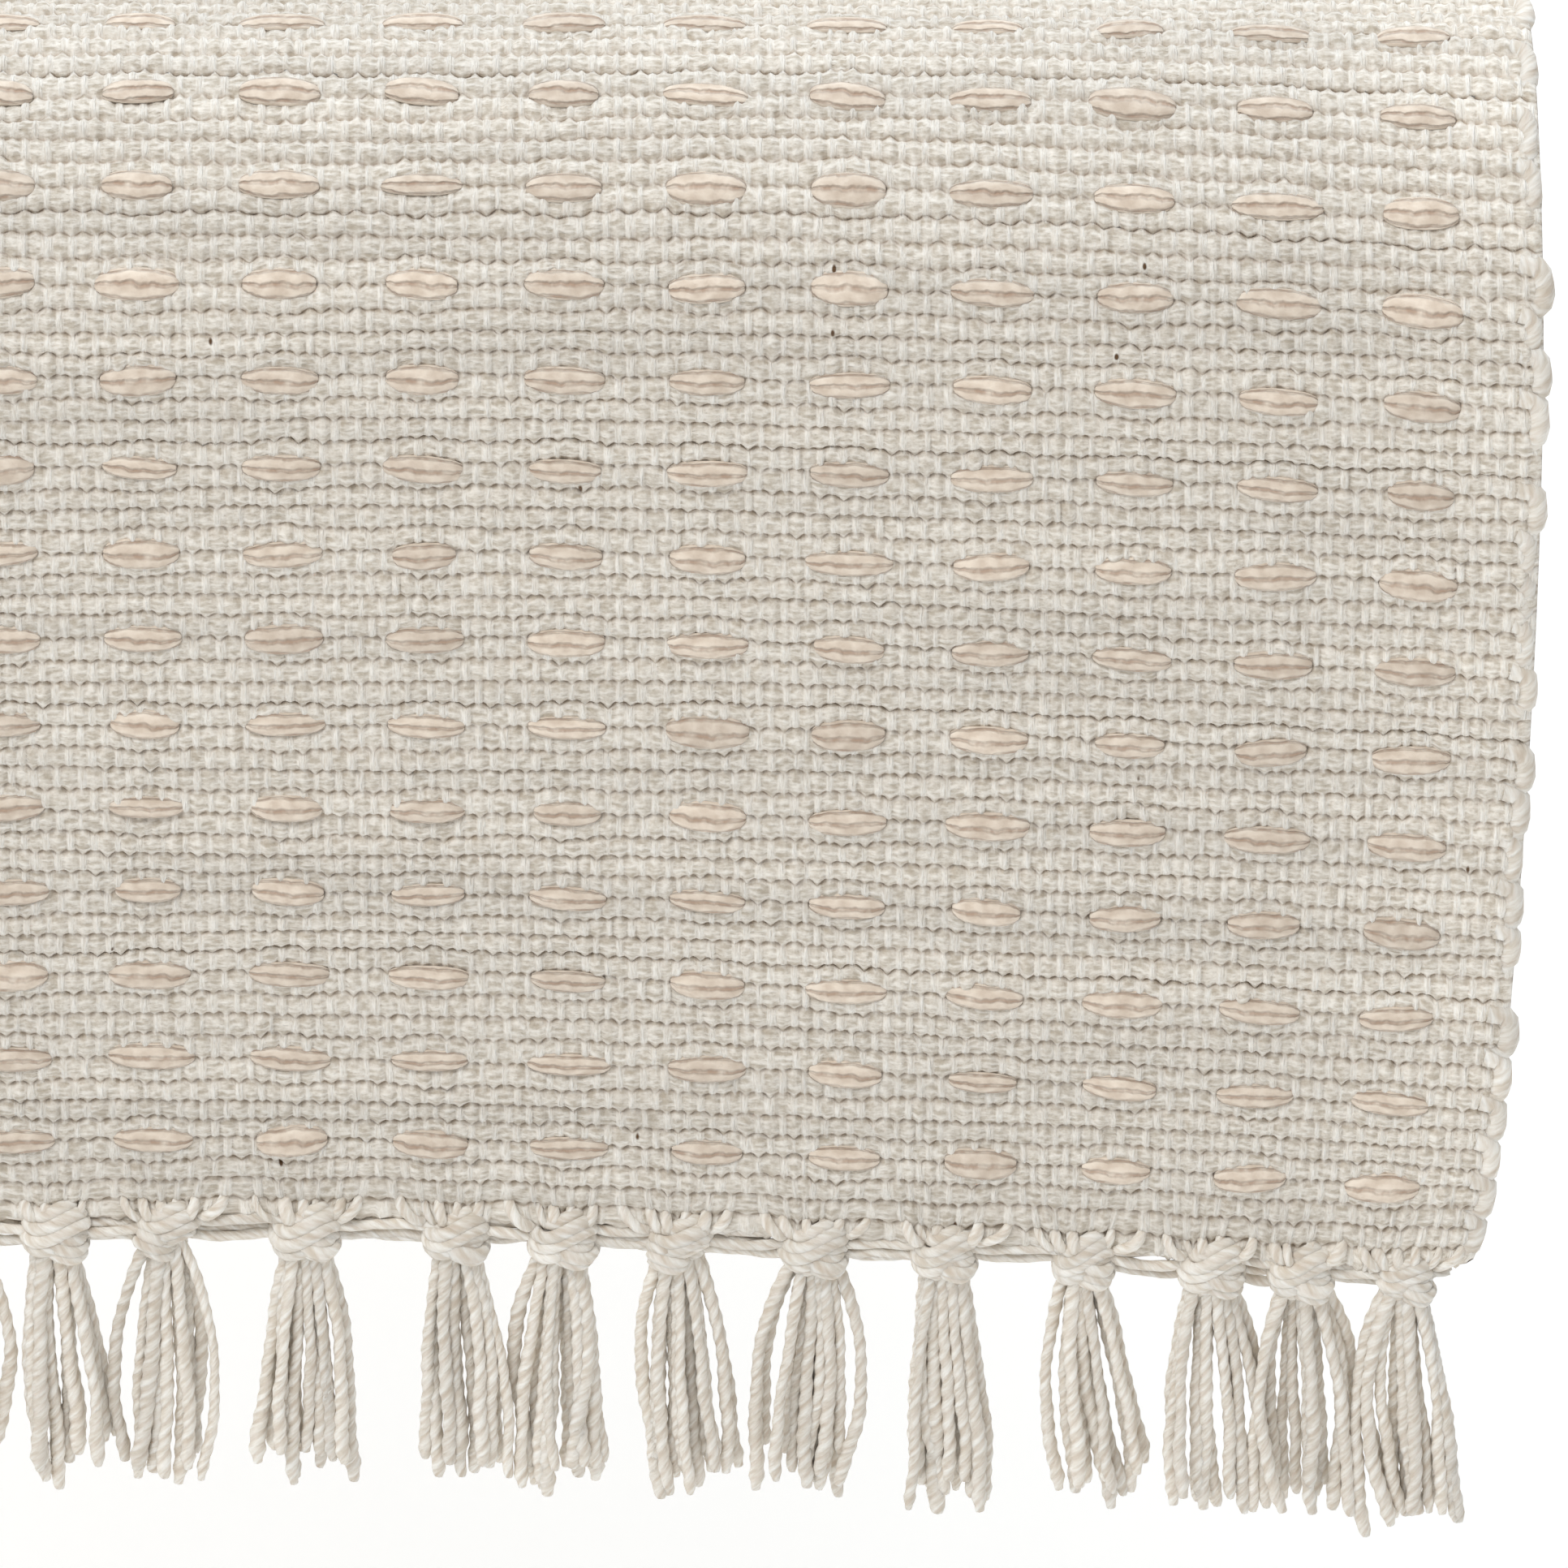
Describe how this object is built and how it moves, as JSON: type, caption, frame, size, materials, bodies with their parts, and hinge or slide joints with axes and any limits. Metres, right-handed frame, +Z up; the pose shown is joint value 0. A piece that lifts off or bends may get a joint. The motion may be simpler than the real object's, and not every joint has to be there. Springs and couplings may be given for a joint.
{
  "type": "table runner",
  "caption": "Hand-woven natural cotton table runner with rows of blush dashes, draped over a table and ending in knotted thread tassels.",
  "frame": {"origin": "the middle of the cloth's underside where it lies flat on the table", "axes": "+X across the runner, +Y along it, +Z up; the front end is the one at -Y"},
  "size_m": [0.406, 1.4236, 0.2346],
  "materials": {
    "natural_cotton": "thick plain weave of unbleached cotton, matt",
    "blush_cotton": "loose blush-beige inlay threads, matt",
    "header_cotton": "loose bundle of weft threads, matt",
    "tassel_cotton": "twisted two-ply cotton threads, matt"
  },
  "bodies": {
    "table_cloth": {"cloth_top": "natural_cotton"},
    "front_fold_upper": {"front_fold_upper": "natural_cotton"},
    "front_fold_lower": {"front_fold_lower": "natural_cotton"},
    "front_drop": {"front_drop": "natural_cotton", "front_header_cord": "header_cotton"},
    "front_tassel_01": {"front_tassel_01": "tassel_cotton"},
    "front_tassel_02": {"front_tassel_02": "tassel_cotton"},
    "front_tassel_03": {"front_tassel_03": "tassel_cotton"},
    "front_tassel_04": {"front_tassel_04": "tassel_cotton"},
    "front_tassel_05": {"front_tassel_05": "tassel_cotton"},
    "front_tassel_06": {"front_tassel_06": "tassel_cotton"},
    "front_tassel_07": {"front_tassel_07": "tassel_cotton"},
    "front_tassel_08": {"front_tassel_08": "tassel_cotton"},
    "front_tassel_09": {"front_tassel_09": "tassel_cotton"},
    "front_tassel_10": {"front_tassel_10": "tassel_cotton"},
    "front_tassel_11": {"front_tassel_11": "tassel_cotton"},
    "front_tassel_12": {"front_tassel_12": "tassel_cotton"},
    "front_tassel_13": {"front_tassel_13": "tassel_cotton"},
    "front_tassel_14": {"front_tassel_14": "tassel_cotton"},
    "front_tassel_15": {"front_tassel_15": "tassel_cotton"},
    "front_tassel_16": {"front_tassel_16": "tassel_cotton"},
    "front_tassel_17": {"front_tassel_17": "tassel_cotton"},
    "front_tassel_18": {"front_tassel_18": "tassel_cotton"},
    "front_tassel_19": {"front_tassel_19": "tassel_cotton"},
    "front_tassel_20": {"front_tassel_20": "tassel_cotton"},
    "front_tassel_21": {"front_tassel_21": "tassel_cotton"},
    "front_tassel_22": {"front_tassel_22": "tassel_cotton"},
    "rear_fold_upper": {"rear_fold_upper": "natural_cotton"},
    "rear_fold_lower": {"rear_fold_lower": "natural_cotton"},
    "rear_drop": {"rear_drop": "natural_cotton", "rear_header_cord": "header_cotton"},
    "rear_tassel_01": {"rear_tassel_01": "tassel_cotton"},
    "rear_tassel_02": {"rear_tassel_02": "tassel_cotton"},
    "rear_tassel_03": {"rear_tassel_03": "tassel_cotton"},
    "rear_tassel_04": {"rear_tassel_04": "tassel_cotton"},
    "rear_tassel_05": {"rear_tassel_05": "tassel_cotton"},
    "rear_tassel_06": {"rear_tassel_06": "tassel_cotton"},
    "rear_tassel_07": {"rear_tassel_07": "tassel_cotton"},
    "rear_tassel_08": {"rear_tassel_08": "tassel_cotton"},
    "rear_tassel_09": {"rear_tassel_09": "tassel_cotton"},
    "rear_tassel_10": {"rear_tassel_10": "tassel_cotton"},
    "rear_tassel_11": {"rear_tassel_11": "tassel_cotton"},
    "rear_tassel_12": {"rear_tassel_12": "tassel_cotton"},
    "rear_tassel_13": {"rear_tassel_13": "tassel_cotton"},
    "rear_tassel_14": {"rear_tassel_14": "tassel_cotton"},
    "rear_tassel_15": {"rear_tassel_15": "tassel_cotton"},
    "rear_tassel_16": {"rear_tassel_16": "tassel_cotton"},
    "rear_tassel_17": {"rear_tassel_17": "tassel_cotton"},
    "rear_tassel_18": {"rear_tassel_18": "tassel_cotton"},
    "rear_tassel_19": {"rear_tassel_19": "tassel_cotton"},
    "rear_tassel_20": {"rear_tassel_20": "tassel_cotton"},
    "rear_tassel_21": {"rear_tassel_21": "tassel_cotton"},
    "rear_tassel_22": {"rear_tassel_22": "tassel_cotton"}
  },
  "joints": [
    {"name": "fold_front", "type": "hinge", "parent": "table_cloth", "child": "front_fold_upper", "pos_m": [0, -0.6799, 0.0016], "axis": [-1, 0, 0], "range_deg": [0, 30]},
    {"name": "fold_front_middle", "type": "hinge", "parent": "front_fold_upper", "child": "front_fold_lower", "pos_m": [0, -0.69382, -0.00644], "axis": [-1, 0, 0], "range_deg": [0, 30]},
    {"name": "fold_front_lower", "type": "hinge", "parent": "front_fold_lower", "child": "front_drop", "pos_m": [0, -0.70775, -0.03057], "axis": [-1, 0, 0], "range_deg": [0, 30]},
    {"name": "fold_rear", "type": "hinge", "parent": "table_cloth", "child": "rear_fold_upper", "pos_m": [0, 0.6799, 0.0016], "axis": [1, 0, 0], "range_deg": [0, 30]},
    {"name": "fold_rear_middle", "type": "hinge", "parent": "rear_fold_upper", "child": "rear_fold_lower", "pos_m": [0, 0.69382, -0.00644], "axis": [1, 0, 0], "range_deg": [0, 30]},
    {"name": "fold_rear_lower", "type": "hinge", "parent": "rear_fold_lower", "child": "rear_drop", "pos_m": [0, 0.70775, -0.03057], "axis": [1, 0, 0], "range_deg": [0, 30]},
    {"name": "swing_front_01", "type": "hinge", "parent": "front_drop", "child": "front_tassel_01", "pos_m": [-0.1865, -0.70775, -0.18843], "axis": [1, 0, 0], "range_deg": [-90, 90]},
    {"name": "swing_front_02", "type": "hinge", "parent": "front_drop", "child": "front_tassel_02", "pos_m": [-0.16696, -0.70775, -0.18705], "axis": [1, 0, 0], "range_deg": [-90, 90]},
    {"name": "swing_front_03", "type": "hinge", "parent": "front_drop", "child": "front_tassel_03", "pos_m": [-0.15275, -0.70775, -0.18611], "axis": [1, 0, 0], "range_deg": [-90, 90]},
    {"name": "swing_front_04", "type": "hinge", "parent": "front_drop", "child": "front_tassel_04", "pos_m": [-0.13677, -0.70775, -0.18511], "axis": [1, 0, 0], "range_deg": [-90, 90]},
    {"name": "swing_front_05", "type": "hinge", "parent": "front_drop", "child": "front_tassel_05", "pos_m": [-0.11634, -0.70775, -0.18394], "axis": [1, 0, 0], "range_deg": [-90, 90]},
    {"name": "swing_front_06", "type": "hinge", "parent": "front_drop", "child": "front_tassel_06", "pos_m": [-0.09591, -0.70775, -0.18288], "axis": [1, 0, 0], "range_deg": [-90, 90]},
    {"name": "swing_front_07", "type": "hinge", "parent": "front_drop", "child": "front_tassel_07", "pos_m": [-0.07638, -0.70775, -0.18199], "axis": [1, 0, 0], "range_deg": [-90, 90]},
    {"name": "swing_front_08", "type": "hinge", "parent": "front_drop", "child": "front_tassel_08", "pos_m": [-0.06039, -0.70775, -0.18135], "axis": [1, 0, 0], "range_deg": [-90, 90]},
    {"name": "swing_front_09", "type": "hinge", "parent": "front_drop", "child": "front_tassel_09", "pos_m": [-0.04618, -0.70775, -0.18086], "axis": [1, 0, 0], "range_deg": [-90, 90]},
    {"name": "swing_front_10", "type": "hinge", "parent": "front_drop", "child": "front_tassel_10", "pos_m": [-0.03108, -0.70775, -0.18044], "axis": [1, 0, 0], "range_deg": [-90, 90]},
    {"name": "swing_front_11", "type": "hinge", "parent": "front_drop", "child": "front_tassel_11", "pos_m": [-0.01492, -0.70775, -0.1801], "axis": [1, 0, 0], "range_deg": [-90, 90]},
    {"name": "swing_front_12", "type": "hinge", "parent": "front_drop", "child": "front_tassel_12", "pos_m": [0.00178, -0.70775, -0.17996], "axis": [1, 0, 0], "range_deg": [-90, 90]},
    {"name": "swing_front_13", "type": "hinge", "parent": "front_drop", "child": "front_tassel_13", "pos_m": [0.02238, -0.70775, -0.18024], "axis": [1, 0, 0], "range_deg": [-90, 90]},
    {"name": "swing_front_14", "type": "hinge", "parent": "front_drop", "child": "front_tassel_14", "pos_m": [0.04476, -0.70775, -0.18082], "axis": [1, 0, 0], "range_deg": [-90, 90]},
    {"name": "swing_front_15", "type": "hinge", "parent": "front_drop", "child": "front_tassel_15", "pos_m": [0.06075, -0.70775, -0.18136], "axis": [1, 0, 0], "range_deg": [-90, 90]},
    {"name": "swing_front_16", "type": "hinge", "parent": "front_drop", "child": "front_tassel_16", "pos_m": [0.07815, -0.70775, -0.18206], "axis": [1, 0, 0], "range_deg": [-90, 90]},
    {"name": "swing_front_17", "type": "hinge", "parent": "front_drop", "child": "front_tassel_17", "pos_m": [0.09822, -0.70775, -0.18299], "axis": [1, 0, 0], "range_deg": [-90, 90]},
    {"name": "swing_front_18", "type": "hinge", "parent": "front_drop", "child": "front_tassel_18", "pos_m": [0.11758, -0.70775, -0.18401], "axis": [1, 0, 0], "range_deg": [-90, 90]},
    {"name": "swing_front_19", "type": "hinge", "parent": "front_drop", "child": "front_tassel_19", "pos_m": [0.13836, -0.70775, -0.18521], "axis": [1, 0, 0], "range_deg": [-90, 90]},
    {"name": "swing_front_20", "type": "hinge", "parent": "front_drop", "child": "front_tassel_20", "pos_m": [0.15755, -0.70775, -0.18642], "axis": [1, 0, 0], "range_deg": [-90, 90]},
    {"name": "swing_front_21", "type": "hinge", "parent": "front_drop", "child": "front_tassel_21", "pos_m": [0.17087, -0.70775, -0.18732], "axis": [1, 0, 0], "range_deg": [-90, 90]},
    {"name": "swing_front_22", "type": "hinge", "parent": "front_drop", "child": "front_tassel_22", "pos_m": [0.1865, -0.70775, -0.18843], "axis": [1, 0, 0], "range_deg": [-90, 90]},
    {"name": "swing_rear_01", "type": "hinge", "parent": "rear_drop", "child": "rear_tassel_01", "pos_m": [0.1865, 0.70775, -0.18843], "axis": [-1, 0, 0], "range_deg": [-90, 90]},
    {"name": "swing_rear_02", "type": "hinge", "parent": "rear_drop", "child": "rear_tassel_02", "pos_m": [0.16696, 0.70775, -0.18705], "axis": [-1, 0, 0], "range_deg": [-90, 90]},
    {"name": "swing_rear_03", "type": "hinge", "parent": "rear_drop", "child": "rear_tassel_03", "pos_m": [0.15275, 0.70775, -0.18611], "axis": [-1, 0, 0], "range_deg": [-90, 90]},
    {"name": "swing_rear_04", "type": "hinge", "parent": "rear_drop", "child": "rear_tassel_04", "pos_m": [0.13677, 0.70775, -0.18511], "axis": [-1, 0, 0], "range_deg": [-90, 90]},
    {"name": "swing_rear_05", "type": "hinge", "parent": "rear_drop", "child": "rear_tassel_05", "pos_m": [0.11634, 0.70775, -0.18394], "axis": [-1, 0, 0], "range_deg": [-90, 90]},
    {"name": "swing_rear_06", "type": "hinge", "parent": "rear_drop", "child": "rear_tassel_06", "pos_m": [0.09591, 0.70775, -0.18288], "axis": [-1, 0, 0], "range_deg": [-90, 90]},
    {"name": "swing_rear_07", "type": "hinge", "parent": "rear_drop", "child": "rear_tassel_07", "pos_m": [0.07638, 0.70775, -0.18199], "axis": [-1, 0, 0], "range_deg": [-90, 90]},
    {"name": "swing_rear_08", "type": "hinge", "parent": "rear_drop", "child": "rear_tassel_08", "pos_m": [0.06039, 0.70775, -0.18135], "axis": [-1, 0, 0], "range_deg": [-90, 90]},
    {"name": "swing_rear_09", "type": "hinge", "parent": "rear_drop", "child": "rear_tassel_09", "pos_m": [0.04618, 0.70775, -0.18086], "axis": [-1, 0, 0], "range_deg": [-90, 90]},
    {"name": "swing_rear_10", "type": "hinge", "parent": "rear_drop", "child": "rear_tassel_10", "pos_m": [0.03108, 0.70775, -0.18044], "axis": [-1, 0, 0], "range_deg": [-90, 90]},
    {"name": "swing_rear_11", "type": "hinge", "parent": "rear_drop", "child": "rear_tassel_11", "pos_m": [0.01492, 0.70775, -0.1801], "axis": [-1, 0, 0], "range_deg": [-90, 90]},
    {"name": "swing_rear_12", "type": "hinge", "parent": "rear_drop", "child": "rear_tassel_12", "pos_m": [-0.00178, 0.70775, -0.17996], "axis": [-1, 0, 0], "range_deg": [-90, 90]},
    {"name": "swing_rear_13", "type": "hinge", "parent": "rear_drop", "child": "rear_tassel_13", "pos_m": [-0.02238, 0.70775, -0.18024], "axis": [-1, 0, 0], "range_deg": [-90, 90]},
    {"name": "swing_rear_14", "type": "hinge", "parent": "rear_drop", "child": "rear_tassel_14", "pos_m": [-0.04476, 0.70775, -0.18082], "axis": [-1, 0, 0], "range_deg": [-90, 90]},
    {"name": "swing_rear_15", "type": "hinge", "parent": "rear_drop", "child": "rear_tassel_15", "pos_m": [-0.06075, 0.70775, -0.18136], "axis": [-1, 0, 0], "range_deg": [-90, 90]},
    {"name": "swing_rear_16", "type": "hinge", "parent": "rear_drop", "child": "rear_tassel_16", "pos_m": [-0.07815, 0.70775, -0.18206], "axis": [-1, 0, 0], "range_deg": [-90, 90]},
    {"name": "swing_rear_17", "type": "hinge", "parent": "rear_drop", "child": "rear_tassel_17", "pos_m": [-0.09822, 0.70775, -0.18299], "axis": [-1, 0, 0], "range_deg": [-90, 90]},
    {"name": "swing_rear_18", "type": "hinge", "parent": "rear_drop", "child": "rear_tassel_18", "pos_m": [-0.11758, 0.70775, -0.18401], "axis": [-1, 0, 0], "range_deg": [-90, 90]},
    {"name": "swing_rear_19", "type": "hinge", "parent": "rear_drop", "child": "rear_tassel_19", "pos_m": [-0.13836, 0.70775, -0.18521], "axis": [-1, 0, 0], "range_deg": [-90, 90]},
    {"name": "swing_rear_20", "type": "hinge", "parent": "rear_drop", "child": "rear_tassel_20", "pos_m": [-0.15755, 0.70775, -0.18642], "axis": [-1, 0, 0], "range_deg": [-90, 90]},
    {"name": "swing_rear_21", "type": "hinge", "parent": "rear_drop", "child": "rear_tassel_21", "pos_m": [-0.17087, 0.70775, -0.18732], "axis": [-1, 0, 0], "range_deg": [-90, 90]},
    {"name": "swing_rear_22", "type": "hinge", "parent": "rear_drop", "child": "rear_tassel_22", "pos_m": [-0.1865, 0.70775, -0.18843], "axis": [-1, 0, 0], "range_deg": [-90, 90]}
  ],
  "couplings": [
    {"joint": "fold_front_middle", "follows": "fold_front", "ratio": 1},
    {"joint": "fold_front_lower", "follows": "fold_front", "ratio": 1},
    {"joint": "fold_rear_middle", "follows": "fold_rear", "ratio": 1},
    {"joint": "fold_rear_lower", "follows": "fold_rear", "ratio": 1}
  ]
}
